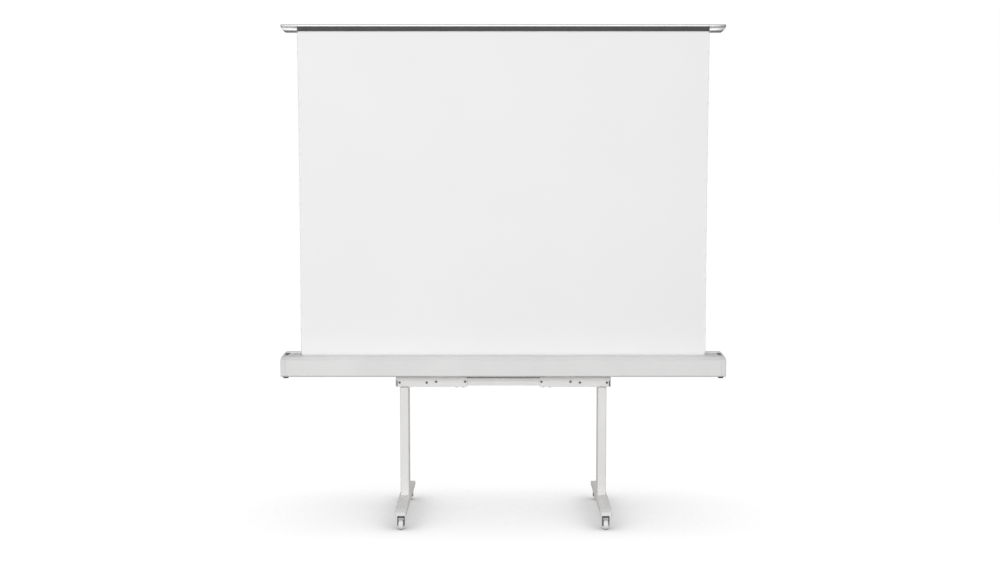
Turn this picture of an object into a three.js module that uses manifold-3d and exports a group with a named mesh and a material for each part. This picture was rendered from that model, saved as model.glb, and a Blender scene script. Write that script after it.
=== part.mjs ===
// Floor-rising screen on a rolling stand. Millimetres, +Z up, the viewing side faces -Y.
// The origin is on the floor, under the middle of the stand.
// The screen is drawn fully raised: the fabric stands between the slot of the housing
// and the top bar, and two elbow arms behind it carry the bar.
import * as THREE from 'three';
import { mergeVertices } from 'three/addons/utils/BufferGeometryUtils.js';
import Module from 'manifold-3d';

const wasm = await Module();
wasm.setup();

// ---- Driving dimensions ----
const GAP = 0.3; // running and seating gap between neighbouring pieces
const ROUND = 20; // facets of a small round piece

// Housing
const HOUSING_LENGTH = 2300;
const HOUSING_DEPTH = 176;
const HOUSING_BOTTOM = 741;
const HOUSING_TOP = 853;
const FRONT_EDGE = 828; // where the upright front turns into the bevel
const BEVEL_DEPTH = 22;
const BEVEL_TOP = 842;
const FRONT_TOP = 846; // the front lip of the slot, lower than the rear one
const REAR_ROUND = 10; // radius of the rear upper edge
const LOWER_CORNER = 6; // chamfer of the lower edges
const SHEET = 2;
const END_CAP_WIDTH = 26;
const END_CAP_WALL = 3.5;
const SLOT_FRONT = -24;
const SLOT_REAR = 50;
const LIP_DROP = 9;
const SEAT_Z = 846; // floor of the end seats that receive the lowered bar
const TONGUE_X = 1090; // the cap's tongue closes the slot from here outwards
const HOUSING_FOOT_RADIUS = 14;
const HOUSING_FOOT_HEIGHT = 8;
const HOUSING_FOOT_X = 1126;
const HOUSING_FOOT_Y = 62;

// Mains inlet and switch on the rear face, and the control box behind them
const INLET_X = -985;
const SWITCH_X = -925;
const CONTROL_Z = 796;
const CONTROL_BOX_X = [-320, -150];
const CONTROL_BOX_Y = [52, 80];
const CONTROL_BOX_HEIGHT = 74;

// Fabric and its side cords
const FABRIC_WIDTH = 2102;
const FABRIC_Y = -14;
const FABRIC_THICKNESS = 0.8;
const TAB_COUNT = 12;
const TAB_PITCH = 130;
const TAB_FIRST_DROP = 95; // from the top of the fabric to the first tab
const TAB_HEIGHT = 24;
const TAB_REACH = 6;
const CORD_RADIUS = 1.5;

// Top bar
const BAR_TOP = 2546;
const BAR_BOTTOM = 2512;
const BAR_FRONT = -20;
const BAR_REAR = 44;
const BAR_LENGTH = 2275;
const BAR_END_LENGTH = 85;
const BAR_END_SLANT = [16, 20]; // width and height cut off the lower outer corner of each end
const BAR_END_WALL = 5;
const BAR_WALL = 3;
const STRIP_LOW = 2512.3;
const STRIP_HIGH = 2536;
const STRIP_THICKNESS = 1.5;

// Roller
const ROLLER_RADIUS = 27;
const ROLLER_WALL = 3;
const ROLLER_LENGTH = 2132;
const ROLLER_Z = 791;
const ROLLER_Y = FABRIC_Y - FABRIC_THICKNESS / 2 - GAP - ROLLER_RADIUS;
const STUB_RADIUS = 7;
const ROLLER_BRACKET_X = 1080;
const ROLLER_BRACKET_THICKNESS = 5;
const ROLLER_BRACKET_Y = [-80, -17];
const IDLE_END_LENGTH = 30;
const MOTOR_LENGTH = 480;

// Elbow arms
const ARM_LENGTH = 950;
const ARM_HALF_HEIGHT = 18;
const ARM_BASE_X = 130;
const ARM_BASE_Z = 774;
const ARM_TOP_Z = 2492;
const UPPER_ARM_Y = [-6, 8];
const LOWER_ARM_Y = [12, 26];
const PIN_RADIUS = 6;
const OPEN_PIVOT_CLEARANCE = 1.5;
const SPRING_RADIUS = 20;

// Stand
const LEG_X = 515;
const CROSSBAR_HALF = 559;
const SLEEVE_LENGTH = 370;
const SLEEVE_BOTTOM = 680;
const SLEEVE_TOP = 731;
const SLEEVE_DEPTH = 60;
const RAIL_BOTTOM = 687;
const RAIL_TOP = 725;
const RAIL_DEPTH = 50;
const RAIL_HALF = 450;
const TUBE_WALL = 2.5;
const BOLT_PLACES = [[199, 708], [350, 708], [399, 703], [540, 703]]; // x, z
const MOUNT_PLATE = [70, 45]; // half length and half depth
const MOUNT_PLATE_X = 300;
const BOLT_RADIUS = 6;
const BOLT_HEIGHT = 4;
const COLUMN_WIDTH = 45;
const COLUMN_DEPTH = 90;
const FOOT_WIDTH = 57;
const FOOT_HALF_LENGTH = 322;
const FOOT_BOTTOM = 77;
const FOOT_TIP_TOP = 95;
const FOOT_TOP = 111;
const FOOT_FLAT = 70; // half length of the level top under the column
const FOOT_CORNER = 9;
const FOOT_SHOULDER = 287; // where the gentle slope of the top turns down to the tip
const FOOT_SHOULDER_TOP = 104;
const FOOT_WALL = 3;

// Casters
const CASTER_Y = 274;
const CASTER_TRAIL = 12;
const WHEEL_RADIUS = 25;
const WHEEL_WIDTH = 24;
const WHEEL_FACETS = 40;
const AXLE_RADIUS = 4;
const FORK_WIDTH = 36;
const FORK_CHEEK = 4;
const FORK_TOP = 66;
const RACE_RADIUS = 13;
const STEM_RADIUS = 5;
const STEM_TOP = 90;

// ---- Finishes ----
function finish(color, roughness, metalness) {
  return new THREE.MeshStandardMaterial({ color, roughness, metalness });
}
const PAINT = () => finish(0xe9e8e4, 0.45, 0.1);
const CAP_PLASTIC = () => finish(0xe4e4e2, 0.5, 0);
const ALUMINIUM = () => finish(0xc4c6c8, 0.35, 0.9);
const BLACK_PLASTIC = () => finish(0x1d1e20, 0.5, 0);
const RUBBER = () => finish(0x202021, 0.85, 0);
const FABRIC = () => finish(0xf2f2f1, 0.9, 0);
const STEEL = () => finish(0x9a9da0, 0.35, 0.9);
const WHEEL = () => finish(0xc9cacb, 0.55, 0);

const object = new THREE.Group();

function add(name, geometry, material, x = 0, y = 0, z = 0) {
  const mesh = new THREE.Mesh(geometry, material);
  mesh.name = name;
  mesh.position.set(x, y, z);
  object.add(mesh);
  return mesh;
}

// ---- Solids ----
function toManifold(geometry) {
  const bare = geometry.clone();
  bare.deleteAttribute('normal');
  bare.deleteAttribute('uv');
  const merged = mergeVertices(bare, 1e-4);
  return new wasm.Manifold(new wasm.Mesh({
    numProp: 3,
    vertProperties: new Float32Array(merged.attributes.position.array),
    triVerts: new Uint32Array(merged.index.array),
  }));
}

function toGeometry(solid) {
  const mesh = solid.getMesh();
  const geometry = new THREE.BufferGeometry();
  geometry.setAttribute('position', new THREE.BufferAttribute(mesh.vertProperties, 3));
  geometry.setIndex(new THREE.BufferAttribute(mesh.triVerts, 1));
  geometry.computeVertexNormals();
  return geometry;
}

function union(geometries) {
  return toGeometry(geometries.map(toManifold).reduce((sum, part) => sum.add(part)));
}

function cut(geometry, tools) {
  const cutters = tools.map(toManifold);
  return toGeometry(cutters.reduce((rest, tool) => rest.subtract(tool), toManifold(geometry)));
}

function common(a, b) {
  return toGeometry(toManifold(a).intersect(toManifold(b)));
}

function shapeOf(points, holes = []) {
  const shape = new THREE.Shape(points.map(([u, v]) => new THREE.Vector2(u, v)));
  for (const hole of holes) {
    shape.holes.push(new THREE.Path(hole.map(([u, v]) => new THREE.Vector2(u, v))));
  }
  return shape;
}

function extrude(shape, length, matrix) {
  const geometry = new THREE.ExtrudeGeometry(shape, { depth: length, bevelEnabled: false });
  return geometry.applyMatrix4(matrix);
}

// A profile of (y, z) points drawn out along X.
function alongX(points, x0, x1, holes = []) {
  const turn = new THREE.Matrix4().set(0, 0, 1, x0, 1, 0, 0, 0, 0, 1, 0, 0, 0, 0, 0, 1);
  return extrude(shapeOf(points, holes), x1 - x0, turn);
}

// A profile of (x, z) points drawn out along Y.
function alongY(points, y0, y1, holes = []) {
  const turn = new THREE.Matrix4().set(1, 0, 0, 0, 0, 0, -1, y1, 0, 1, 0, 0, 0, 0, 0, 1);
  return extrude(shapeOf(points, holes), y1 - y0, turn);
}

// A profile of (x, y) points drawn out along Z.
function alongZ(points, z0, z1, holes = []) {
  return extrude(shapeOf(points, holes), z1 - z0, new THREE.Matrix4().makeTranslation(0, 0, z0));
}

function box(x, y, z) {
  const geometry = new THREE.BoxGeometry(x[1] - x[0], y[1] - y[0], z[1] - z[0]);
  return geometry.translate((x[0] + x[1]) / 2, (y[0] + y[1]) / 2, (z[0] + z[1]) / 2);
}

function rodX(radius, x0, x1, y, z) {
  return new THREE.CylinderGeometry(radius, radius, x1 - x0, ROUND)
    .rotateZ(Math.PI / 2).translate((x0 + x1) / 2, y, z);
}

function rodY(radius, y0, y1, x, z) {
  return new THREE.CylinderGeometry(radius, radius, y1 - y0, ROUND).translate(x, (y0 + y1) / 2, z);
}

function rodZ(radius, z0, z1, x, y) {
  return new THREE.CylinderGeometry(radius, radius, z1 - z0, ROUND)
    .rotateX(Math.PI / 2).translate(x, y, (z0 + z1) / 2);
}

function arc(cu, cv, radius, from, to, steps) {
  const points = [];
  for (let i = 0; i <= steps; i += 1) {
    const angle = THREE.MathUtils.degToRad(from + ((to - from) * i) / steps);
    points.push([cu + radius * Math.cos(angle), cv + radius * Math.sin(angle)]);
  }
  return points;
}

function circle(cu, cv, radius) {
  return arc(cu, cv, radius, 0, 360 - 360 / ROUND, ROUND - 1);
}

function rectangle(u0, v0, u1, v1) {
  return [[u0, v0], [u1, v0], [u1, v1], [u0, v1]];
}

// ---- Housing ----
const SHELL_HALF = HOUSING_LENGTH / 2 - END_CAP_WIDTH;
const HALF_DEPTH = HOUSING_DEPTH / 2;

// The front half of the sheet: floor, upright front, bevel, and the gentle slope up to the slot.
function frontShellProfile() {
  const f = -HALF_DEPTH;
  const t = SHEET;
  const inside = LOWER_CORNER + 1;
  const lip = FRONT_TOP - LIP_DROP;
  return [
    [-GAP / 2, HOUSING_BOTTOM], [-GAP / 2, HOUSING_BOTTOM + t], [f + inside, HOUSING_BOTTOM + t],
    [f + t, HOUSING_BOTTOM + inside], [f + t, FRONT_EDGE - 1], [f + BEVEL_DEPTH + 1, BEVEL_TOP - t],
    [SLOT_FRONT - t, FRONT_TOP - t], [SLOT_FRONT - t, lip], [SLOT_FRONT, lip],
    [SLOT_FRONT, FRONT_TOP - 1], [SLOT_FRONT - 1, FRONT_TOP], [f + BEVEL_DEPTH, BEVEL_TOP],
    [f, FRONT_EDGE], [f, HOUSING_BOTTOM + LOWER_CORNER], [f + LOWER_CORNER, HOUSING_BOTTOM],
  ];
}

// The rear half, with the other side of the slot and a rounded upper edge.
function rearShellProfile() {
  const r = HALF_DEPTH;
  const t = SHEET;
  const inside = LOWER_CORNER + 1;
  return [
    [GAP / 2, HOUSING_BOTTOM], [r - LOWER_CORNER, HOUSING_BOTTOM], [r, HOUSING_BOTTOM + LOWER_CORNER],
    ...arc(r - REAR_ROUND, HOUSING_TOP - REAR_ROUND, REAR_ROUND, 0, 90, 5),
    [SLOT_REAR + 1, HOUSING_TOP], [SLOT_REAR, HOUSING_TOP - 1], [SLOT_REAR, HOUSING_TOP - LIP_DROP],
    [SLOT_REAR + t, HOUSING_TOP - LIP_DROP], [SLOT_REAR + t, HOUSING_TOP - t],
    [r - REAR_ROUND, HOUSING_TOP - t], [r - t, HOUSING_TOP - REAR_ROUND],
    [r - t, HOUSING_BOTTOM + inside], [r - inside, HOUSING_BOTTOM + t], [GAP / 2, HOUSING_BOTTOM + t],
  ];
}

// The outline of the housing's end, drawn in by inset on all sides.
function capOutline(inset) {
  const f = -HALF_DEPTH + inset;
  const r = HALF_DEPTH - inset;
  const top = HOUSING_TOP - inset;
  const low = HOUSING_BOTTOM + inset;
  const corner = LOWER_CORNER - (2 - Math.SQRT2) * inset;
  const round = REAR_ROUND - inset;
  return [
    [f + corner, low], [r - corner, low], [r, low + corner],
    ...arc(r - round, top - round, round, 0, 90, 5),
    [SLOT_REAR, top], [SLOT_FRONT, FRONT_TOP - inset], [f + BEVEL_DEPTH - 0.6 * inset, BEVEL_TOP - inset],
    [f, FRONT_EDGE - inset / 2], [f, low + corner],
  ];
}

// A moulded cap with rounded outer edges, a hollow inside, a seat for the end of the bar,
// and a tongue that reaches in between the lips of the slot.
function endCap(side) {
  const outer = HOUSING_LENGTH / 2;
  const inner = outer - END_CAP_WIDTH + GAP;
  const seatEnd = outer - 9;
  const edge = 6;
  const blank = 60; // longer than the cap, so that only the outer end keeps its rounding
  const turn = new THREE.Matrix4().set(0, 0, 1, outer - blank, 1, 0, 0, 0, 0, 1, 0, 0, 0, 0, 0, 1);
  const round = new THREE.ExtrudeGeometry(shapeOf(capOutline(edge)), {
    depth: blank - edge, bevelEnabled: true, bevelThickness: edge, bevelSize: edge, bevelSegments: 3,
  }).applyMatrix4(turn);
  const kept = box([inner, outer + 1], [-HOUSING_DEPTH, HOUSING_DEPTH], [0, 2 * HOUSING_TOP]);
  const hollow = alongX(capOutline(END_CAP_WALL + 4), inner - 1, seatEnd);
  const shelf = box([inner, seatEnd + 0.5], [SLOT_FRONT - 6, SLOT_REAR + 6], [SEAT_Z - 4, SEAT_Z - 0.5]);
  const tongue = box([TONGUE_X, seatEnd], [SLOT_FRONT + GAP, SLOT_REAR - GAP], [SEAT_Z - 4, SEAT_Z]);
  const seat = box([inner - 1, seatEnd], [SLOT_FRONT, SLOT_REAR], [SEAT_Z, HOUSING_TOP + 5]);
  const cap = cut(union([cut(common(round, kept), [hollow]), shelf, tongue]), [seat]);
  return side < 0 ? mirrorX(cap) : cap;
}

// Mirrors a geometry across the YZ plane and turns its faces out again.
function mirrorX(geometry) {
  const flipped = geometry.index ? geometry.clone() : mergeVertices(geometry.clone(), 1e-4);
  flipped.scale(-1, 1, 1);
  const index = flipped.index.array;
  for (let i = 0; i < index.length; i += 3) {
    [index[i], index[i + 1]] = [index[i + 1], index[i]];
  }
  flipped.computeVertexNormals();
  return flipped;
}

function buildHousing() {
  add('housing_front_shell', alongX(frontShellProfile(), -SHELL_HALF, SHELL_HALF), PAINT());
  const windows = [
    box([INLET_X - 14, INLET_X + 14], [HALF_DEPTH - 10, HALF_DEPTH + 5], [CONTROL_Z - 12, CONTROL_Z + 12]),
    box([SWITCH_X - 8, SWITCH_X + 8], [HALF_DEPTH - 10, HALF_DEPTH + 5], [CONTROL_Z - 12, CONTROL_Z + 12]),
  ];
  const rear = alongX(rearShellProfile(), -SHELL_HALF, SHELL_HALF);
  add('housing_rear_shell', cut(rear, windows), PAINT());
  for (const [label, side] of [['left', -1], ['right', 1]]) {
    add(`end_cap_${label}`, endCap(side), CAP_PLASTIC());
    for (const [place, y] of [['front', -HOUSING_FOOT_Y], ['rear', HOUSING_FOOT_Y]]) {
      const low = HOUSING_BOTTOM - HOUSING_FOOT_HEIGHT;
      const pad = rodZ(HOUSING_FOOT_RADIUS, low, HOUSING_BOTTOM - GAP, 0, 0);
      add(`housing_foot_${place}_${label}`, pad, RUBBER(), side * HOUSING_FOOT_X, y, 0);
    }
  }
}

// A flanged socket with three contact blades standing in its recess.
function inletGeometry() {
  const flange = box([-18, 18], [HALF_DEPTH + GAP, HALF_DEPTH + 2.5], [-15, 15]);
  const body = box([-13, 13], [HALF_DEPTH - 26, HALF_DEPTH + 1], [-11, 11]);
  const recess = box([-11, 11], [HALF_DEPTH - 16, HALF_DEPTH + 4], [-8, 8]);
  const blades = [[-6, 0], [6, 0], [0, 3.5]].map(([x, z]) => (
    box([x - 1, x + 1], [HALF_DEPTH - 17, HALF_DEPTH - 5], [z - 2, z + 2])));
  return union([cut(union([flange, body]), [recess]), ...blades]);
}

// A rocker with a shallow V face, at rest with its lower half pressed in.
function rockerGeometry() {
  const profile = [[-6, -9.5], [1.5, -9.5], [-0.5, 0], [1.5, 9.5], [-6, 9.5]];
  return alongX(profile, -6.5, 6.5).rotateX(THREE.MathUtils.degToRad(-8));
}

function buildElectrics() {
  add('power_inlet', inletGeometry(), BLACK_PLASTIC(), INLET_X, 0, CONTROL_Z);
  add('power_rocker', rockerGeometry(), BLACK_PLASTIC(), SWITCH_X, HALF_DEPTH - 1, CONTROL_Z);
  const floor = HOUSING_BOTTOM + SHEET + GAP;
  const control = box(CONTROL_BOX_X, CONTROL_BOX_Y, [floor, floor + CONTROL_BOX_HEIGHT]);
  add('control_box', control, BLACK_PLASTIC());
}

// ---- Roller ----
// An upright plate with a foot on the housing floor and a bore for the roller's stub.
function rollerBracket(x0) {
  const x1 = x0 + ROLLER_BRACKET_THICKNESS;
  const low = HOUSING_BOTTOM + SHEET + GAP;
  const [front, rear] = ROLLER_BRACKET_Y;
  const outline = [
    [front, low], [rear, low], [rear, ROLLER_Z + 15], [rear - 8, ROLLER_Z + 27],
    [front + 20, ROLLER_Z + 27], [front + 10, ROLLER_Z + 15],
  ];
  const plate = alongX(outline, x0, x1, [circle(ROLLER_Y, ROLLER_Z, STUB_RADIUS + GAP)]);
  const tail = box([x0 - 14, x0 + 1], [front, rear], [low, low + 3]);
  return union([plate, tail]);
}

function rollerEnd(headLength) {
  const half = ROLLER_LENGTH / 2;
  const plug = rodX(ROLLER_RADIUS - ROLLER_WALL - GAP, half - headLength, half + 4, 0, 0);
  const stub = rodX(STUB_RADIUS, half, ROLLER_BRACKET_X + ROLLER_BRACKET_THICKNESS + 3, 0, 0);
  return union([plug, stub]);
}

function buildRoller() {
  const half = ROLLER_LENGTH / 2;
  const tube = alongX(circle(0, 0, ROLLER_RADIUS), -half, half, [circle(0, 0, ROLLER_RADIUS - ROLLER_WALL)]);
  add('roller_tube', tube, ALUMINIUM(), 0, ROLLER_Y, ROLLER_Z);
  add('roller_idle_end', mirrorX(rollerEnd(IDLE_END_LENGTH)), BLACK_PLASTIC(), 0, ROLLER_Y, ROLLER_Z);
  add('roller_motor', rollerEnd(MOTOR_LENGTH), STEEL(), 0, ROLLER_Y, ROLLER_Z);
  add('roller_bracket_right', rollerBracket(ROLLER_BRACKET_X), STEEL());
  add('roller_bracket_left', mirrorX(rollerBracket(ROLLER_BRACKET_X)), STEEL());
}

// ---- Elbow arms ----
// The arms are drawn for the right-hand side and mirrored for the left.
const ARM_ANGLE = Math.asin((ARM_TOP_Z - ARM_BASE_Z) / (2 * ARM_LENGTH));
const ELBOW_X = ARM_BASE_X + ARM_LENGTH * Math.cos(ARM_ANGLE);
const ELBOW_Z = (ARM_BASE_Z + ARM_TOP_Z) / 2;

// A bar with round ends between two pivots, with a bore at each.
function armGeometry(from, to, span, boreFrom, boreTo) {
  const angle = Math.atan2(to[1] - from[1], to[0] - from[0]);
  const degrees = THREE.MathUtils.radToDeg(angle);
  const outline = [
    ...arc(to[0], to[1], ARM_HALF_HEIGHT, degrees - 90, degrees + 90, 12),
    ...arc(from[0], from[1], ARM_HALF_HEIGHT, degrees + 90, degrees + 270, 12),
  ];
  const bores = [circle(from[0], from[1], boreFrom), circle(to[0], to[1], boreTo)];
  return alongY(outline, span[0], span[1], bores);
}

// An upright plate on the housing floor with the pivot pin that the lower arm turns on.
function armBaseGeometry() {
  const low = HOUSING_BOTTOM + SHEET + GAP;
  const rear = LOWER_ARM_Y[1] + 2;
  const plate = box([ARM_BASE_X - 18, ARM_BASE_X + 18], [rear, rear + 8], [low, ARM_BASE_Z + 14]);
  const flange = box([ARM_BASE_X - 40, ARM_BASE_X + 40], [rear, rear + 22], [low, low + 4]);
  const pin = rodY(PIN_RADIUS, LOWER_ARM_Y[0] - 2, rear + 1, ARM_BASE_X, ARM_BASE_Z);
  return union([plate, flange, pin]);
}

// The spring barrel is fixed to the lower arm, and its pin passes through both arms.
function elbowSpringGeometry() {
  const barrel = rodY(SPRING_RADIUS, LOWER_ARM_Y[1] + GAP, SLOT_REAR - 6, ELBOW_X, ELBOW_Z);
  const pin = rodY(PIN_RADIUS, UPPER_ARM_Y[0] - 1.5, LOWER_ARM_Y[1] + 1, ELBOW_X, ELBOW_Z);
  return union([barrel, pin]);
}

// A lug under the bar with the pivot pin that the upper arm hangs on.
function topPivotGeometry() {
  const front = UPPER_ARM_Y[1] + 2;
  const high = BAR_BOTTOM - GAP;
  const plate = box([ARM_BASE_X - 16, ARM_BASE_X + 16], [front, front + 10], [ARM_TOP_Z - 12, high]);
  const flange = box([ARM_BASE_X - 34, ARM_BASE_X + 34], [front, front + 24], [high - 4, high]);
  const pin = rodY(PIN_RADIUS, UPPER_ARM_Y[0] - 1.5, front + 1, ARM_BASE_X, ARM_TOP_Z);
  return union([plate, flange, pin]);
}

function buildArms() {
  const bore = PIN_RADIUS + GAP + 0.2;
  const base = [ARM_BASE_X, ARM_BASE_Z];
  const elbow = [ELBOW_X, ELBOW_Z];
  const top = [ARM_BASE_X, ARM_TOP_Z];
  for (const [label, side] of [['left', -1], ['right', 1]]) {
    const face = (geometry) => (side < 0 ? mirrorX(geometry) : geometry);
    const topBore = side > 0 ? bore + OPEN_PIVOT_CLEARANCE : bore;
    add(`arm_base_${label}`, face(armBaseGeometry()), STEEL());
    add(`lower_arm_${label}`, face(armGeometry(base, elbow, LOWER_ARM_Y, bore, bore)), ALUMINIUM());
    add(`upper_arm_${label}`, face(armGeometry(elbow, top, UPPER_ARM_Y, bore, topBore)), ALUMINIUM());
    add(`elbow_spring_${label}`, face(elbowSpringGeometry()), STEEL());
    add(`top_pivot_${label}`, face(topPivotGeometry()), STEEL());
  }
}

// ---- Top bar ----
// An extrusion open underneath, with a groove in its front face for the dark strip.
function barProfile() {
  const w = BAR_WALL;
  const groove = BAR_FRONT + STRIP_THICKNESS;
  return [
    [groove, BAR_BOTTOM], [groove, STRIP_HIGH + GAP], [BAR_FRONT, STRIP_HIGH + GAP],
    [BAR_FRONT, BAR_TOP - 3], [BAR_FRONT + 3, BAR_TOP], [BAR_REAR - 3, BAR_TOP],
    [BAR_REAR, BAR_TOP - 3], [BAR_REAR, BAR_BOTTOM],
    [12, BAR_BOTTOM], [12, BAR_BOTTOM + w], [BAR_REAR - w, BAR_BOTTOM + w], [BAR_REAR - w, BAR_TOP - w],
    [groove + w, BAR_TOP - w], [groove + w, BAR_BOTTOM],
  ];
}

// A hollow end piece with the bar's own section, its lower outer corner cut off at a slant.
function barEndGeometry() {
  const outer = BAR_LENGTH / 2;
  const inner = outer - BAR_END_LENGTH + GAP;
  const w = BAR_END_WALL;
  const [slantX, slantZ] = BAR_END_SLANT;
  const outline = [
    [inner, BAR_BOTTOM], [outer - slantX, BAR_BOTTOM],
    [outer, BAR_BOTTOM + slantZ], [outer, BAR_TOP], [inner, BAR_TOP],
  ];
  const section = [
    [BAR_FRONT, BAR_BOTTOM + 1], [BAR_FRONT + 1, BAR_BOTTOM], [BAR_REAR - 1, BAR_BOTTOM],
    [BAR_REAR, BAR_BOTTOM + 1], [BAR_REAR, BAR_TOP - 3], [BAR_REAR - 3, BAR_TOP],
    [BAR_FRONT + 3, BAR_TOP], [BAR_FRONT, BAR_TOP - 3],
  ];
  const block = common(alongY(outline, BAR_FRONT, BAR_REAR), alongX(section, inner, outer));
  const pocket = box([inner - 1, outer - slantX - w], [BAR_FRONT + w, BAR_REAR - w],
    [BAR_BOTTOM + w, BAR_TOP - w]);
  return cut(block, [pocket]);
}

function buildTopBar() {
  const half = BAR_LENGTH / 2 - BAR_END_LENGTH;
  const strip = [[BAR_FRONT - 0.5, STRIP_LOW], [BAR_FRONT + STRIP_THICKNESS - GAP, STRIP_LOW],
    [BAR_FRONT + STRIP_THICKNESS - GAP, STRIP_HIGH], [BAR_FRONT - 0.5, STRIP_HIGH]];
  add('top_bar', alongX(barProfile(), -half, half), ALUMINIUM());
  add('top_bar_strip', alongX(strip, -half, half), BLACK_PLASTIC());
  add('top_bar_end_right', barEndGeometry(), ALUMINIUM());
  add('top_bar_end_left', mirrorX(barEndGeometry()), ALUMINIUM());
}

// ---- Fabric ----
// A flat sheet from the roller to the bar, with small tabs along both edges.
function fabricOutline() {
  const half = FABRIC_WIDTH / 2;
  const top = BAR_BOTTOM - GAP;
  const right = [[half, ROLLER_Z]];
  for (let i = TAB_COUNT - 1; i >= 0; i -= 1) {
    const z = top - TAB_FIRST_DROP - i * TAB_PITCH;
    right.push([half, z - TAB_HEIGHT / 2], [half + TAB_REACH, z - TAB_HEIGHT / 2 + 5],
      [half + TAB_REACH, z + TAB_HEIGHT / 2 - 5], [half, z + TAB_HEIGHT / 2]);
  }
  right.push([half, top]);
  const left = right.map(([x, z]) => [-x, z]).reverse();
  return [...right, ...left];
}

function buildFabric() {
  const front = FABRIC_Y - FABRIC_THICKNESS / 2;
  const rear = FABRIC_Y + FABRIC_THICKNESS / 2;
  add('screen_fabric', alongY(fabricOutline(), front, rear), FABRIC());
  for (const [label, side] of [['left', -1], ['right', 1]]) {
    const cord = rodZ(CORD_RADIUS, ROLLER_Z, BAR_BOTTOM - GAP, 0, 0);
    add(`tension_cord_${label}`, cord, FABRIC(), side * (FABRIC_WIDTH / 2 + 2), rear + GAP + CORD_RADIUS, 0);
  }
}

// ---- Stand ----
function boxSection(depth, bottom, top, x0, x1) {
  const d = depth / 2;
  const w = TUBE_WALL;
  const hole = rectangle(-d + w, bottom + w, d - w, top - w);
  return alongX(rectangle(-d, bottom, d, top), x0, x1, [hole]);
}

// The outer part of the crossbar, with a locking slot near its outer end.
function sleeveGeometry() {
  const inner = CROSSBAR_HALF - SLEEVE_LENGTH;
  const tube = boxSection(SLEEVE_DEPTH, SLEEVE_BOTTOM, SLEEVE_TOP, inner, CROSSBAR_HALF);
  const slot = box([CROSSBAR_HALF - 8, CROSSBAR_HALF - 3], [-SLEEVE_DEPTH / 2 - 5, -SLEEVE_DEPTH / 2 + 5],
    [SLEEVE_BOTTOM + 3, SLEEVE_TOP - 18]);
  return cut(tube, [slot]);
}

// A screw head with a hexagon socket.
function boltGeometry() {
  const head = rodY(BOLT_RADIUS, -BOLT_HEIGHT, -GAP, 0, 0);
  const socket = new THREE.CylinderGeometry(3.2, 3.2, 3, 6).translate(0, -BOLT_HEIGHT, 0);
  return cut(head, [socket]);
}

function columnGeometry() {
  const w = COLUMN_WIDTH / 2;
  const d = COLUMN_DEPTH / 2;
  const r = 6;
  const rounded = (inset) => [
    ...arc(w - r, -d + r, r - inset, -90, 0, 4), ...arc(w - r, d - r, r - inset, 0, 90, 4),
    ...arc(-w + r, d - r, r - inset, 90, 180, 4), ...arc(-w + r, -d + r, r - inset, 180, 270, 4),
  ];
  return alongZ(rounded(0), FOOT_TOP + GAP, SLEEVE_BOTTOM - GAP, [rounded(TUBE_WALL)]);
}

// A long foot that thins towards its tips, hollow from below, with a socket for each caster stem.
function footGeometry() {
  const w = FOOT_WIDTH / 2;
  const l = FOOT_HALF_LENGTH;
  const r = FOOT_CORNER;
  const plan = [
    ...arc(w - r, -l + r, r, -90, 0, 5), ...arc(w - r, l - r, r, 0, 90, 5),
    ...arc(-w + r, l - r, r, 90, 180, 5), ...arc(-w + r, -l + r, r, 180, 270, 5),
  ];
  const side = [
    [-l, FOOT_BOTTOM], [l, FOOT_BOTTOM], [l, FOOT_TIP_TOP], [FOOT_SHOULDER, FOOT_SHOULDER_TOP],
    [FOOT_FLAT, FOOT_TOP], [-FOOT_FLAT, FOOT_TOP], [-FOOT_SHOULDER, FOOT_SHOULDER_TOP], [-l, FOOT_TIP_TOP],
  ];
  const body = common(alongZ(plan, FOOT_BOTTOM - 1, FOOT_TOP + 1), alongX(side, -w - 1, w + 1));
  const sockets = [-CASTER_Y, CASTER_Y].map((y) => (
    rodZ(STEM_RADIUS + 0.4, FOOT_BOTTOM - 2, STEM_TOP + 1, 0, y)));
  const inner = w - FOOT_WALL;
  const ceiling = FOOT_SHOULDER_TOP - FOOT_WALL - 2;
  const bays = [[-CASTER_Y + 25, -50], [-40, 40], [50, CASTER_Y - 25]].map((y) => (
    box([-inner, inner], y, [FOOT_BOTTOM - 1, ceiling])));
  return cut(body, [...sockets, ...bays]);
}

function buildStand() {
  add('crossbar_rail', boxSection(RAIL_DEPTH, RAIL_BOTTOM, RAIL_TOP, -RAIL_HALF, RAIL_HALF), PAINT());
  for (const [label, side] of [['left', -1], ['right', 1]]) {
    const sleeve = side < 0 ? mirrorX(sleeveGeometry()) : sleeveGeometry();
    const [half, depth] = MOUNT_PLATE;
    const plate = box([-half, half], [-depth, depth], [SLEEVE_TOP + GAP, HOUSING_BOTTOM - GAP]);
    add(`crossbar_sleeve_${label}`, sleeve, PAINT());
    add(`mount_plate_${label}`, plate, STEEL(), side * MOUNT_PLATE_X, 0, 0);
    add(`column_${label}`, columnGeometry(), PAINT(), side * LEG_X, 0, 0);
    add(`foot_${label}`, footGeometry(), PAINT(), side * LEG_X, 0, 0);
    BOLT_PLACES.forEach(([x, z], i) => {
      const name = `crossbar_bolt_${label}_${i + 1}`;
      add(name, boltGeometry(), BLACK_PLASTIC(), side * x, -SLEEVE_DEPTH / 2, z);
    });
  }
}

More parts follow.
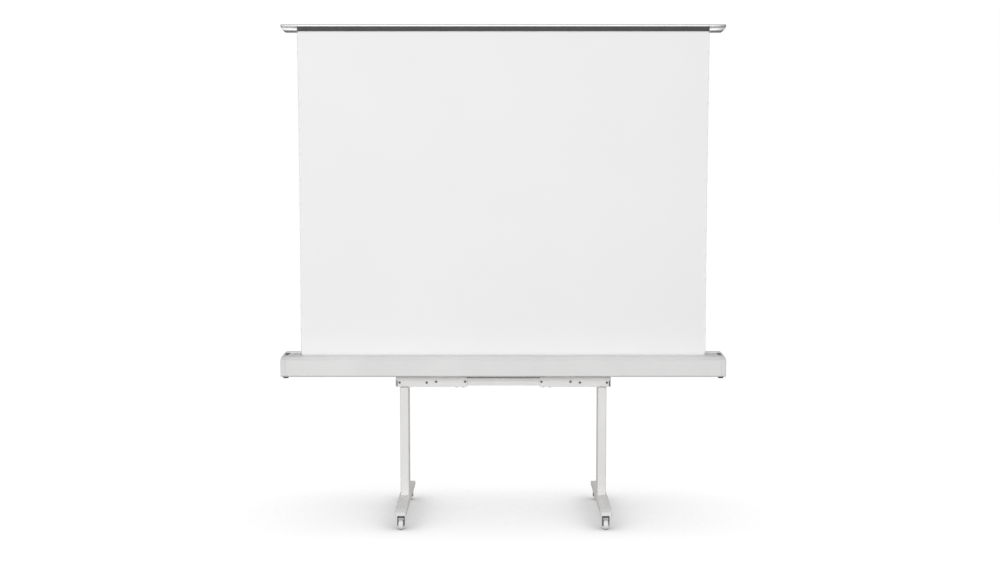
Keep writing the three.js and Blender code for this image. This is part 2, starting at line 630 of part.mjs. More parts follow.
// ---- Casters ----
// The stem's axis is the Z axis here, and the wheel trails towards +Y.
function forkGeometry() {
  const w = FORK_WIDTH / 2;
  const cheek = [
    [-9, FORK_TOP], [-11, 50], [CASTER_TRAIL - 8, WHEEL_RADIUS - 4],
    ...arc(CASTER_TRAIL, WHEEL_RADIUS, 9, -120, -20, 5),
    [CASTER_TRAIL + 16, 56], [CASTER_TRAIL + 10, FORK_TOP],
  ];
  const low = 2 * WHEEL_RADIUS + 4;
  const bridge = [[-9, low], [CASTER_TRAIL + 14, low], [CASTER_TRAIL + 10, FORK_TOP], [-9, FORK_TOP]];
  const crown = alongX(bridge, -w, w);
  const cheeks = [alongX(cheek, -w, -w + FORK_CHEEK), alongX(cheek, w - FORK_CHEEK, w)];
  const race = rodZ(RACE_RADIUS, FORK_TOP - 1, FOOT_BOTTOM - GAP, 0, 0);
  const stem = rodZ(STEM_RADIUS, FOOT_BOTTOM - 1, STEM_TOP, 0, 0);
  const axle = rodX(AXLE_RADIUS, -w - 1, w + 1, CASTER_TRAIL, WHEEL_RADIUS);
  return union([crown, ...cheeks, race, stem, axle]);
}

// A solid wheel with a rounded tread and a bore, centred on its axle along X.
function wheelGeometry() {
  const half = WHEEL_WIDTH / 2;
  const bore = AXLE_RADIUS + GAP;
  const edge = 4;
  const profile = [
    [bore, -half], [WHEEL_RADIUS - edge, -half], ...arc(WHEEL_RADIUS - edge, -half + edge, edge, -45, 0, 1),
    ...arc(WHEEL_RADIUS - edge, half - edge, edge, 0, 45, 1), [WHEEL_RADIUS - edge, half],
    [bore, half], [bore, -half],
  ].map(([u, v]) => new THREE.Vector2(u, v));
  return new THREE.LatheGeometry(profile, WHEEL_FACETS).rotateZ(Math.PI / 2);
}

function buildCasters() {
  // At rest every wheel trails outwards, towards the tip of its foot.
  for (const [label, side] of [['left', -1], ['right', 1]]) {
    for (const [place, outwards] of [['front', -1], ['rear', 1]]) {
      const x = side * LEG_X;
      const axleY = outwards * (CASTER_Y + CASTER_TRAIL);
      const fork = outwards < 0 ? forkGeometry().rotateZ(Math.PI) : forkGeometry();
      add(`caster_fork_${place}_${label}`, fork, BLACK_PLASTIC(), x, outwards * CASTER_Y, 0);
      add(`caster_wheel_${place}_${label}`, wheelGeometry(), WHEEL(), x, axleY, WHEEL_RADIUS);
    }
  }
}

buildHousing();
buildElectrics();
buildRoller();
buildArms();
buildTopBar();
buildFabric();
buildStand();
buildCasters();

export default object;
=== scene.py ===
import math

import bmesh
import bpy
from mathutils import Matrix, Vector


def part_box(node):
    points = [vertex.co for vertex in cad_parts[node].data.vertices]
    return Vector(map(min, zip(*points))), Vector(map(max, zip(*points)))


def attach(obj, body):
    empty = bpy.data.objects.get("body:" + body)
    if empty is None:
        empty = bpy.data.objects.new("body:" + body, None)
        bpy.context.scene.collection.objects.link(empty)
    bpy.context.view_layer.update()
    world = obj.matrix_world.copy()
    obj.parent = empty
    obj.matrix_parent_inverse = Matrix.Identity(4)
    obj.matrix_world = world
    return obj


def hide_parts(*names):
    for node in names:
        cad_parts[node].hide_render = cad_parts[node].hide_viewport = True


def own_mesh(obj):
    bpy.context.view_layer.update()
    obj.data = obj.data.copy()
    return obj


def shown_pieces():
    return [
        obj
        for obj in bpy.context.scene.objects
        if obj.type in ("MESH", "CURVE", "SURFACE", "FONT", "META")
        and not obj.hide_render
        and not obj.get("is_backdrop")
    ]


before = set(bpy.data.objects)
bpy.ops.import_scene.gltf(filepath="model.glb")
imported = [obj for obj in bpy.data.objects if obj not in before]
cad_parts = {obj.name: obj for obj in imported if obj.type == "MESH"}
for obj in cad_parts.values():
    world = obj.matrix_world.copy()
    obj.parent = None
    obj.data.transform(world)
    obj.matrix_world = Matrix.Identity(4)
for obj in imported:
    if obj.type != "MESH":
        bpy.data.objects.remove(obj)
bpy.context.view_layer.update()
SIDES = (("left", -1), ("right", 1))

# the camera and the studio; light levels are in scene units, powers in watts, places in metres
CAMERA_LENS = 41.33
CAMERA_PLACE = (-0.0169, -5.958, 1.667)
CAMERA_DROP = 4.182
STUDIO_SIZE = 60.0
FLOOR_LIGHT = 1.015
FLOOR_DARK = -0.16
SHADOW_REACH = 0.86
SHADOW_LEAN = 0.34
SHADOW_SAMPLES = 12
GROUND_LIGHT = 0.12
SIDE_LIGHT = 0.60
SKY_LIGHT = 0.38
SOFTBOX_SIZE = (9.0, 5.0)
FRONT_POWER = 342.0
REAR_POWER = 110.0

# the sheet, its side tabs and cords
TAB_COUNT = 12
TAB_PITCH = 0.130
TAB_FIRST_DROP = 0.095
TAB_REACH = 0.0055
WAIST = 0.0030
SCALLOP = 0.0012
CORD_RADIUS = 0.0012
CORD_OFFSET = 0.0028 + 0.3 * SCALLOP

# the slot in the housing's top, the seats in its end caps, and the casters
SLOT_FRONT, SLOT_BACK = -0.0237, 0.0497
SEAT_BOTTOM, SEAT_TOP, SEAT_RIBS_TOP = 0.8460, 0.8473, 0.84755
GUIDE_INNER, GUIDE_OUTER = 1.0605, 1.0899
GUIDE_BOTTOM, GUIDE_TOP = 0.8425, 0.8452
CASTER_TRAIL = 0.012
CROWN_TOP = 0.0658


# -------------------- camera, floor and light
def make_camera():
    data = bpy.data.cameras.new("camera")
    data.lens = CAMERA_LENS
    data.sensor_width = 36.0
    data.clip_end = 200.0
    camera = bpy.data.objects.new("camera", data)
    camera.location = CAMERA_PLACE
    camera.rotation_euler = (math.radians(90.0 - CAMERA_DROP), 0.0, 0.0)
    bpy.context.scene.collection.objects.link(camera)
    bpy.context.scene.camera = camera


def link(a, b):
    a.id_data.links.new(a, b)


def camera_only(obj):
    """The floor and the backdrop are seen, and throw no light back on the object."""
    obj.visible_diffuse = False
    obj.visible_glossy = False
    obj.visible_transmission = False
    obj.visible_shadow = False
    obj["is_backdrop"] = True


def stage_piece(name, bm, shaded_from):
    """A white surface. With shaded_from it darkens where things within that distance cover it."""
    mesh = bpy.data.meshes.new(name)
    bm.to_mesh(mesh)
    bm.free()
    material = bpy.data.materials.new(name)
    material.use_nodes = True
    nodes = material.node_tree.nodes
    nodes.remove(nodes["Principled BSDF"])
    shader = nodes.new("ShaderNodeEmission")
    if shaded_from:
        open_sky = nodes.new("ShaderNodeAmbientOcclusion")
        open_sky.samples = SHADOW_SAMPLES
        open_sky.inputs["Distance"].default_value = shaded_from
        tilt = nodes.new("ShaderNodeCombineXYZ")
        tilt.inputs["Y"].default_value = -SHADOW_LEAN
        tilt.inputs["Z"].default_value = math.sqrt(1 - SHADOW_LEAN ** 2)
        link(tilt.outputs[0], open_sky.inputs["Normal"])
        level = nodes.new("ShaderNodeMapRange")
        level.inputs["To Min"].default_value = FLOOR_DARK
        level.inputs["To Max"].default_value = FLOOR_LIGHT
        link(open_sky.outputs["AO"], level.inputs["Value"])
        link(level.outputs["Result"], shader.inputs["Color"])
    link(shader.outputs[0], nodes["Material Output"].inputs["Surface"])
    mesh.materials.append(material)
    obj = bpy.data.objects.new(name, mesh)
    bpy.context.scene.collection.objects.link(obj)
    camera_only(obj)


def make_floor():
    ground = bmesh.new()
    bmesh.ops.create_grid(ground, x_segments=2, y_segments=2, size=STUDIO_SIZE)
    stage_piece("floor", ground, SHADOW_REACH)
    dome = bmesh.new()
    bmesh.ops.create_uvsphere(dome, u_segments=48, v_segments=24, radius=STUDIO_SIZE * 0.95)
    stage_piece("backdrop", dome, None)


def area_light(name, place, target, size, power):
    data = bpy.data.lights.new(name, "AREA")
    data.shape = "RECTANGLE"
    data.size, data.size_y = size
    data.energy = power
    light = bpy.data.objects.new(name, data)
    light.location = place
    light.rotation_euler = (Vector(target) - Vector(place)).to_track_quat("-Z", "Y").to_euler()
    light.visible_camera = False
    bpy.context.scene.collection.objects.link(light)
    return light


def make_light():
    world = bpy.data.worlds.new("studio")
    bpy.context.scene.world = world
    world.use_nodes = True
    nodes = world.node_tree.nodes
    coords = nodes.new("ShaderNodeTexCoord")
    split = nodes.new("ShaderNodeSeparateXYZ")
    height = nodes.new("ShaderNodeMapRange")
    height.inputs["From Min"].default_value = -1.0
    ramp = nodes.new("ShaderNodeValToRGB")
    link(coords.outputs["Generated"], split.inputs[0])
    link(split.outputs["Z"], height.inputs["Value"])
    link(height.outputs["Result"], ramp.inputs[0])
    stops = ramp.color_ramp.elements
    stops[0].position, stops[0].color = 0.0, (GROUND_LIGHT, GROUND_LIGHT, GROUND_LIGHT, 1)
    stops[1].position, stops[1].color = 1.0, (SKY_LIGHT, SKY_LIGHT, SKY_LIGHT, 1)
    middle = stops.new(0.5)
    middle.color = (SIDE_LIGHT, SIDE_LIGHT, SIDE_LIGHT, 1)
    link(ramp.outputs["Color"], nodes["Background"].inputs["Color"])
    nodes["Background"].inputs["Strength"].default_value = 1.0
    front = area_light("front_softbox", (-0.8, -7.0, 2.8), (0, 0, 1.3), SOFTBOX_SIZE, FRONT_POWER)
    rear = area_light("rear_softbox", (0.8, 7.0, 1.6), (0, 0, 1.4), SOFTBOX_SIZE, REAR_POWER)
    rear.visible_glossy = False
    return [front, rear]


def light_only_the_object(lights):
    lit = bpy.data.collections.new("lit_by_softboxes")
    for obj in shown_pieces():
        lit.objects.link(obj)
    for light in lights:
        light.light_linking.receiver_collection = lit


bpy.context.scene.view_settings.view_transform = "Standard"


# -------------------- materials
def grey(value, warmth=0.0):
    return (value * (1 + warmth), value, value * (1 - warmth), 1)


class Surface:
    """A node material whose patterns are all measured in metres on the piece itself."""

    def __init__(self, name):
        self.material = bpy.data.materials.new(name)
        self.material.use_nodes = True
        self.nodes = self.material.node_tree.nodes
        self.shader = self.nodes["Principled BSDF"]
        self.coords = self.nodes.new("ShaderNodeTexCoord").outputs["Object"]
        self.normal = None

    def noise(self, scale, detail=3.0, stretch=(1, 1, 1)):
        place = self.nodes.new("ShaderNodeMapping")
        place.inputs["Scale"].default_value = stretch
        link(self.coords, place.inputs["Vector"])
        node = self.nodes.new("ShaderNodeTexNoise")
        node.inputs["Scale"].default_value = scale
        node.inputs["Detail"].default_value = detail
        link(place.outputs["Vector"], node.inputs["Vector"])
        return node.outputs["Fac"]

    def ramp(self, value, stops):
        node = self.nodes.new("ShaderNodeValToRGB")
        elements = node.color_ramp.elements
        while len(elements) < len(stops):
            elements.new(0.5)
        for element, (position, colour) in zip(elements, stops):
            element.position = position
            element.color = colour
        link(value, node.inputs[0])
        return node.outputs["Color"]

    def mix(self, share, first, second, mode="MIX"):
        node = self.nodes.new("ShaderNodeMix")
        node.data_type = "RGBA"
        node.blend_type = mode
        for name, value in (("Factor", share), ("A", first), ("B", second)):
            socket = node.inputs[name]
            if isinstance(value, bpy.types.NodeSocket):
                link(value, socket)
            else:
                socket.default_value = value
        return node.outputs["Result"]

    def spread(self, value, low, high, start=0.3, end=0.7):
        node = self.nodes.new("ShaderNodeMapRange")
        node.inputs["From Min"].default_value = start
        node.inputs["From Max"].default_value = end
        node.inputs["To Min"].default_value = low
        node.inputs["To Max"].default_value = high
        link(value, node.inputs["Value"])
        return node.outputs["Result"]

    def colour(self, value):
        link(value, self.shader.inputs["Base Color"])

    def roughness(self, value):
        link(value, self.shader.inputs["Roughness"])

    def soft_edges(self, radius):
        node = self.nodes.new("ShaderNodeBevel")
        node.samples = 4
        node.inputs["Radius"].default_value = radius
        self.normal = node.outputs["Normal"]
        link(self.normal, self.shader.inputs["Normal"])
        return self.normal

    def edge_mask(self):
        """Near 1 along the edges, where the rounded normal turns away from the flat one. The
        materials use it to paint a highlight along edges.
        """
        geometry = self.nodes.new("ShaderNodeNewGeometry")
        dot = self.nodes.new("ShaderNodeVectorMath")
        dot.operation = "DOT_PRODUCT"
        link(self.normal, dot.inputs[0])
        link(geometry.outputs["Normal"], dot.inputs[1])
        return self.spread(dot.outputs["Value"], 1.0, 0.0, 0.80, 0.995)

    def bump(self, height, strength, distance):
        node = self.nodes.new("ShaderNodeBump")
        node.inputs["Strength"].default_value = strength
        node.inputs["Distance"].default_value = distance
        link(height, node.inputs["Height"])
        if self.normal is not None:
            link(self.normal, node.inputs["Normal"])
        self.normal = node.outputs["Normal"]
        link(self.normal, self.shader.inputs["Normal"])

    def set(self, **values):
        for name, value in values.items():
            self.shader.inputs[name.replace("_", " ")].default_value = value


def painted_metal(name, value, warmth=0.004, edge=0.0018):
    """Powder paint: a very fine orange peel, faint mottling and slightly brighter edges in patches,
    which is a painted highlight.
    """
    s = Surface(name)
    tone = s.ramp(s.noise(5.0, 4.0), [(0.35, grey(value * 0.975, warmth)),
                                      (0.65, grey(value * 1.02, warmth))])
    s.soft_edges(edge)
    mask = s.edge_mask()
    # Edges are lightened in patches towards a lighter grey: a painted highlight.
    highlight_patches = s.spread(s.noise(70.0, 3.0), 0.15, 0.8)
    patchy_edge_highlight = s.nodes.new("ShaderNodeMath")
    patchy_edge_highlight.operation = "MULTIPLY"
    link(mask, patchy_edge_highlight.inputs[0])
    link(highlight_patches, patchy_edge_highlight.inputs[1])
    s.colour(s.mix(patchy_edge_highlight.outputs[0], tone, grey(min(1.0, value * 1.08))))
    s.roughness(s.spread(s.noise(24.0), 0.36, 0.46))
    s.bump(s.noise(1400.0, 2.0), 0.10, 0.0004)
    return s.material


def moulded_plastic(name, value, warmth=0.0, rough=(0.42, 0.55), grain=900.0, edge=0.0015,
                    depth=0.15):
    """Injection-moulded plastic with a fine spark texture."""
    s = Surface(name)
    tone = s.ramp(s.noise(9.0, 3.0), [(0.3, grey(value * 0.95, warmth)),
                                      (0.7, grey(value * 1.05, warmth))])
    s.soft_edges(edge)
    mask = s.edge_mask()
    # Edges are mixed towards a lighter grey: a painted highlight.
    s.colour(s.mix(s.spread(mask, 0.0, 0.35, 0.0, 1.0), tone, grey(min(1.0, value * 1.25 + 0.01))))
    s.roughness(s.spread(s.noise(45.0), *rough))
    s.bump(s.noise(grain, 2.0), depth, 0.0004)
    return s.material


def brushed_metal(name, value, along=(1, 60, 60), rough=(0.26, 0.42), edge=0.0012):
    """Metal with drawn streaks along one direction."""
    s = Surface(name)
    streaks = s.noise(25.0, 4.0, along)
    tone = s.ramp(streaks, [(0.3, grey(value * 0.93)), (0.7, grey(value * 1.05))])
    s.soft_edges(edge)
    mask = s.edge_mask()
    # Edges are mixed towards a brighter grey: a painted highlight.
    s.colour(s.mix(s.spread(mask, 0.0, 0.5, 0.0, 1.0), tone, grey(min(1.0, value * 1.15))))
    s.roughness(s.spread(streaks, *rough))
    s.bump(streaks, 0.06, 0.0003)
    s.set(Metallic=0.9)
    return s.material


def plain_steel(name, value, rough=(0.34, 0.5)):
    """Zinc-plated steel: cloudy, with small bright spangles."""
    s = Surface(name)
    clouds = s.noise(60.0, 4.0)
    tone = s.ramp(clouds, [(0.3, grey(value * 0.85)), (0.7, grey(value * 1.1, -0.01))])
    s.soft_edges(0.0010)
    mask = s.edge_mask()
    # Edges are mixed towards a brighter grey: a painted highlight.
    s.colour(s.mix(s.spread(mask, 0.0, 0.5, 0.0, 1.0), tone, grey(min(1.0, value * 1.3))))
    s.roughness(s.spread(s.noise(30.0), *rough))
    s.bump(s.noise(500.0, 2.0), 0.10, 0.0003)
    s.set(Metallic=0.85)
    return s.material


def rubber(name, value):
    s = Surface(name)
    s.colour(s.ramp(s.noise(30.0, 4.0), [(0.3, grey(value * 0.8)), (0.7, grey(value * 1.3))]))
    s.roughness(s.spread(s.noise(60.0), 0.75, 0.9))
    s.soft_edges(0.0012)
    s.bump(s.noise(800.0, 3.0), 0.3, 0.0006)
    return s.material


def wave(surface, direction, scale):
    node = surface.nodes.new("ShaderNodeTexWave")
    node.wave_type = "BANDS"
    node.bands_direction = direction
    node.inputs["Scale"].default_value = scale
    node.inputs["Distortion"].default_value = 0.6
    node.inputs["Detail"].default_value = 1.0
    link(surface.coords, node.inputs["Vector"])
    return node.outputs["Fac"]


def screen_cloth(name, value):
    """Matt white projection cloth: a fine weave, a faint cloudiness, and no shine."""
    s = Surface(name)
    weave = s.mix(0.5, wave(s, "X", 170.0), wave(s, "Z", 170.0))
    cloud = s.ramp(s.noise(1.6, 3.0), [(0.3, grey(value * 0.988)), (0.7, grey(value * 1.008))])
    threads = s.ramp(weave, [(0.0, grey(0.985)), (1.0, grey(1.0))])
    s.colour(s.mix(1.0, cloud, threads, "MULTIPLY"))
    s.roughness(s.spread(s.noise(12.0), 0.86, 0.95))
    s.bump(weave, 0.05, 0.0002)
    s.set(Specular_IOR_Level=0.15, Sheen_Weight=0.05)
    return s.material


def cord_fibre(name, value):
    s = Surface(name)
    s.colour(s.ramp(wave(s, "Z", 500.0), [(0.0, grey(value * 0.85)), (1.0, grey(value))]))
    s.roughness(s.spread(s.noise(200.0), 0.7, 0.9))
    s.bump(wave(s, "DIAGONAL", 700.0), 0.3, 0.0003)
    return s.material


PAINT = painted_metal("white_paint", 0.75)
STAND_PAINT = painted_metal("stand_paint", 0.80, 0.012)
CAP = moulded_plastic("cap_plastic", 0.72, 0.0, (0.38, 0.5), 1200.0, 0.0025, 0.06)
BLACK = moulded_plastic("black_plastic", 0.028, 0.0, (0.4, 0.55))
STRIP = moulded_plastic("strip_plastic", 0.044, 0.0, (0.5, 0.62), 1200.0, 0.0008, 0.08)
WHEEL = moulded_plastic("wheel_plastic", 0.84, 0.0, (0.45, 0.6), 700.0, 0.0012, 0.08)
FORK = moulded_plastic("fork_plastic", 0.15, 0.0, (0.4, 0.55))
RUBBER = rubber("rubber", 0.06)
SEAT = rubber("seat_rubber", 0.14)
ALUMINIUM = brushed_metal("aluminium", 0.50)
BRIGHT_BAND = brushed_metal("bright_band", 0.48, (1, 40, 40), (0.30, 0.40))
# A darker copy of the aluminium: painted shade for the bar ends' undersides and groove.
SHADED_METAL = brushed_metal("shaded_aluminium", 0.46, (1, 50, 50), (0.40, 0.52))
ARM_METAL = brushed_metal("arm_aluminium", 0.68, (60, 1, 60), (0.32, 0.46))
STEEL = plain_steel("steel", 0.52)
BOLT = plain_steel("bolt_steel", 0.16, (0.4, 0.55))
CLOTH = screen_cloth("screen_fabric", 0.90)
FIBRE = cord_fibre("cord_fibre", 0.75)


# -------------------- mesh helpers
def place_point(axis, u, v, w):
    return {"X": (w, u, v), "Y": (u, w, v), "Z": (u, v, w)}[axis]


def prism(axis, outline, start, end):
    """A closed outline drawn out along an axis. The outline is (y, z), (x, z) or (x, y)."""
    bm = bmesh.new()
    rings = [[bm.verts.new(place_point(axis, u, v, w)) for u, v in outline] for w in (start, end)]
    count = len(outline)
    for i in range(count):
        j = (i + 1) % count
        bm.faces.new((rings[0][i], rings[0][j], rings[1][j], rings[1][i]))
    bm.faces.new(rings[0][::-1])
    bm.faces.new(rings[1])
    bmesh.ops.recalc_face_normals(bm, faces=bm.faces)
    return bm


def block(x, y, z):
    return prism("Z", [(x[0], y[0]), (x[1], y[0]), (x[1], y[1]), (x[0], y[1])], z[0], z[1])


def lathe(axis, centre, profile, steps=40):
    """Turns a closed profile of (radius, distance along the axis) round the axis through centre."""
    bm = bmesh.new()
    rings = []
    for radius, along in profile:
        if radius == 0:
            rings.append([bm.verts.new(place_point(axis, 0, 0, along))])
            continue
        ring = []
        for k in range(steps):
            a = 2 * math.pi * k / steps
            u, v = radius * math.cos(a), radius * math.sin(a)
            ring.append(bm.verts.new(place_point(axis, u, v, along)))
        rings.append(ring)
    closed = rings if len(rings[0]) == 1 else rings + rings[:1]
    for a, b in zip(closed, closed[1:]):
        for k in range(steps):
            n = (k + 1) % steps
            corners = [a[k % len(a)], a[n % len(a)], b[n % len(b)], b[k % len(b)]]
            corners = [c for i, c in enumerate(corners) if c not in corners[:i]]
            if len(corners) > 2:
                bm.faces.new(corners)
    bmesh.ops.recalc_face_normals(bm, faces=bm.faces)
    bmesh.ops.translate(bm, verts=bm.verts, vec=centre)
    return bm


def round_edges(bm, width, segments=2, limit=30.0):
    edges = [e for e in bm.edges if e.is_manifold and e.calc_face_angle(0.0) > math.radians(limit)]
    bmesh.ops.bevel(bm, geom=edges, offset=width, offset_type="OFFSET", segments=segments,
                    profile=0.5, affect="EDGES", clamp_overlap=True)
    return bm


def merged(parts):
    whole = bmesh.new()
    for part in parts:
        mesh = bpy.data.meshes.new("part")
        part.to_mesh(mesh)
        part.free()
        whole.from_mesh(mesh)
        bpy.data.meshes.remove(mesh)
    return whole


def mirrored(bm, side):
    """The parts are drawn for +X; side -1 turns them over to -X."""
    if side < 0:
        bmesh.ops.scale(bm, verts=bm.verts, vec=(-1, 1, 1))
        bmesh.ops.reverse_faces(bm, faces=bm.faces)
    return bm


def piece(name, bm, material, body, replaced=(), sharp=35.0):
    for face in bm.faces:
        face.smooth = True
    for edge in bm.edges:
        edge.smooth = edge.is_manifold and edge.calc_face_angle(0.0) < math.radians(sharp)
    mesh = bpy.data.meshes.new(name)
    bm.to_mesh(mesh)
    bm.free()
    mesh.materials.append(material)
    obj = bpy.data.objects.new(name, mesh)
    bpy.context.scene.collection.objects.link(obj)
    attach(obj, body)
    if replaced:
        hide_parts(*replaced)
    return obj


# -------------------- the CAD pieces that stay as they are
def dress(material, *names):
    for name in names:
        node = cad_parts[name]
        node.data.materials.clear()
        node.data.materials.append(material)


def both(name):
    return [f"{name}_{label}" for label, _ in SIDES]


def dress_cad():
    dress(PAINT, "housing_front_shell", "housing_rear_shell")
    dress(CAP, *both("end_cap"))
    dress(STAND_PAINT, *both("crossbar_sleeve"), *both("column"), *both("foot"))
    dress(RUBBER, *both("housing_foot_front"), *both("housing_foot_rear"))
    dress(BLACK, "power_inlet", "power_rocker", "control_box", "roller_idle_end")
    dress(ALUMINIUM, "top_bar", "roller_tube")
    dress(STRIP, "top_bar_strip")
    dress(ARM_METAL, *both("lower_arm"), *both("upper_arm"))
    dress(STEEL, *both("arm_base"), *both("top_pivot"), *both("roller_bracket"),
          *both("mount_plate"), "roller_motor")
    for i in range(1, 5):
        dress(BOLT, *[f"{name}_{i}" for name in both("crossbar_bolt")])


# -------------------- the fabric, its tabs and its cords
def edge_half_width(z, low, high, half):
    """The side edges curve in a little between the ends, and again between the tabs."""
    t = (z - low) / (high - low)
    bow = WAIST * 4 * t * (1 - t)
    first = high - TAB_FIRST_DROP
    between = 0.5 - 0.5 * math.cos(2 * math.pi * (first - z) / TAB_PITCH)
    return half - bow - SCALLOP * between


def stations(count, length, hem=0.0015):
    """Places from 0 to 1, evenly spaced but for a narrow first and last step."""
    narrow = hem / length
    return [0.0, *[narrow + (1 - 2 * narrow) * k / (count - 2) for k in range(count - 1)], 1.0]


def make_fabric():
    low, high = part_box("screen_fabric")
    half = high.x - 0.006
    middle, thick = (low.y + high.y) / 2, (high.y - low.y) / 2
    columns, rows = 48, 156
    bm = bmesh.new()
    layers = []
    for y in (middle - thick, middle + thick):
        grid = []
        for up in stations(rows, high.z - low.z):
            z = low.z + (high.z - low.z) * up
            w = edge_half_width(z, low.z, high.z, half)
            grid.append([bm.verts.new((w * (2 * across - 1), y, z))
                         for across in stations(columns, 2 * w)])
        layers.append(grid)
    front, back = layers
    for r in range(rows):
        for c in range(columns):
            bm.faces.new((front[r][c], front[r][c + 1], front[r + 1][c + 1], front[r + 1][c]))
            bm.faces.new((back[r][c], back[r + 1][c], back[r + 1][c + 1], back[r][c + 1]))
    rim = [(r, 0) for r in range(rows)] + [(rows, c) for c in range(columns)]
    rim += [(r, columns) for r in range(rows, 0, -1)] + [(0, c) for c in range(columns, 0, -1)]
    for (r0, c0), (r1, c1) in zip(rim, rim[1:] + rim[:1]):
        bm.faces.new((front[r0][c0], front[r1][c1], back[r1][c1], back[r0][c0]))
    sheet = piece("screen_sheet", bm, CLOTH, "housing", ["screen_fabric"])
    going_with = []
    for label, side in SIDES:
        tabs = []
        for i in range(TAB_COUNT):
            z = high.z - TAB_FIRST_DROP - i * TAB_PITCH
            w = edge_half_width(z, low.z, high.z, half)
            outline = [(w - 0.010, z - 0.012), (w + 0.001, z - 0.012), (w + TAB_REACH, z - 0.007),
                       (w + TAB_REACH, z + 0.007), (w + 0.001, z + 0.012), (w - 0.010, z + 0.012)]
            body = round_edges(prism("Y", outline, middle - 0.0014, middle + 0.0014), 0.0005, 2)
            seam = round_edges(block((w - 0.0085, w - 0.0078), (middle - 0.0017, middle + 0.0017),
                                     (z - 0.010, z + 0.010)), 0.0002, 1)
            tabs += [body, seam]
        group = piece(f"side_tabs_{label}", mirrored(merged(tabs), side), CLOTH, "housing")
        path = []
        for r in range(rows + 1):
            z = low.z + (high.z - low.z) * r / rows
            path.append((edge_half_width(z, low.z, high.z, half) + CORD_OFFSET, middle, z))
        cord = piece(f"side_cord_{label}", mirrored(tube(path, CORD_RADIUS), side), FIBRE,
                     "housing", [f"tension_cord_{label}"])
        going_with += [group, cord]
    for obj in [sheet, *going_with]:
        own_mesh(obj)


def tube(path, radius, steps=10):
    """A closed round tube along a nearly upright path."""
    bm = bmesh.new()
    rings = []
    for x, y, z in path:
        angles = [2 * math.pi * k / steps for k in range(steps)]
        rings.append([bm.verts.new((x + radius * math.cos(a), y + radius * math.sin(a), z))
                      for a in angles])
    for a, b in zip(rings, rings[1:]):
        for k in range(steps):
            n = (k + 1) % steps
            bm.faces.new((a[k], a[n], b[n], b[k]))
    bm.faces.new(rings[0][::-1])
    bm.faces.new(rings[-1])
    bmesh.ops.recalc_face_normals(bm, faces=bm.faces)
    return bm


# -------------------- the top bar's ends
def make_bar_ends():
    for label, side in SIDES:
        low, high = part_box(f"top_bar_end_{label}")
        inner, outer = min(abs(low.x), abs(high.x)), max(abs(low.x), abs(high.x))
        f, r, bottom, top = low.y, high.y, low.z, high.z
        section = [
            (f + 0.0006, bottom + 0.0016), (f + 0.0024, bottom),
            (r - 0.003, bottom), (r, bottom + 0.003),
            (r, top - 0.003), (r - 0.003, top),
            (f + 0.003, top), (f + 0.0008, top - 0.0008), (f, top - 0.003),
            (f, top - 0.0085), (f + 0.0026, top - 0.0100), (f + 0.0026, top - 0.0150),
            (f + 0.0008, top - 0.0165), (f, top - 0.0200),
            (f - 0.0002, top - 0.0250), (f, top - 0.0300),
        ]
        bm = prism("X", section, inner, outer)
        slant = Vector((0.020, 0, -0.016)).normalized()
        cut_at = Vector((outer, 0, bottom + 0.020))
        result = bmesh.ops.bisect_plane(bm, geom=bm.verts[:] + bm.edges[:] + bm.faces[:], dist=1e-6,
                                        plane_co=cut_at, plane_no=slant, clear_outer=True)
        rim = [e for e in result["geom_cut"] if isinstance(e, bmesh.types.BMEdge)]
        bmesh.ops.contextual_create(bm, geom=rim)
        bmesh.ops.recalc_face_normals(bm, faces=bm.faces)
        round_edges(bm, 0.0007, 2, 50.0)
        # Faces that look down and the groove under the top lip take the darker copy of the
        # aluminium: painted shade.
        for face in bm.faces:
            middle = face.calc_center_median()
            drop, in_front = top - middle.z, middle.y < f + 0.004
            if face.normal.z < -0.6 or in_front and 0.0084 < drop < 0.0166:
                face.material_index = 1
            elif in_front and 0.0166 < drop < 0.0310:
                face.material_index = 2
        end = piece(f"bar_end_{label}", mirrored(bm, side), ALUMINIUM, "top_bar",
                    [f"top_bar_end_{label}"])
        end.data.materials.append(SHADED_METAL)
        end.data.materials.append(BRIGHT_BAND)


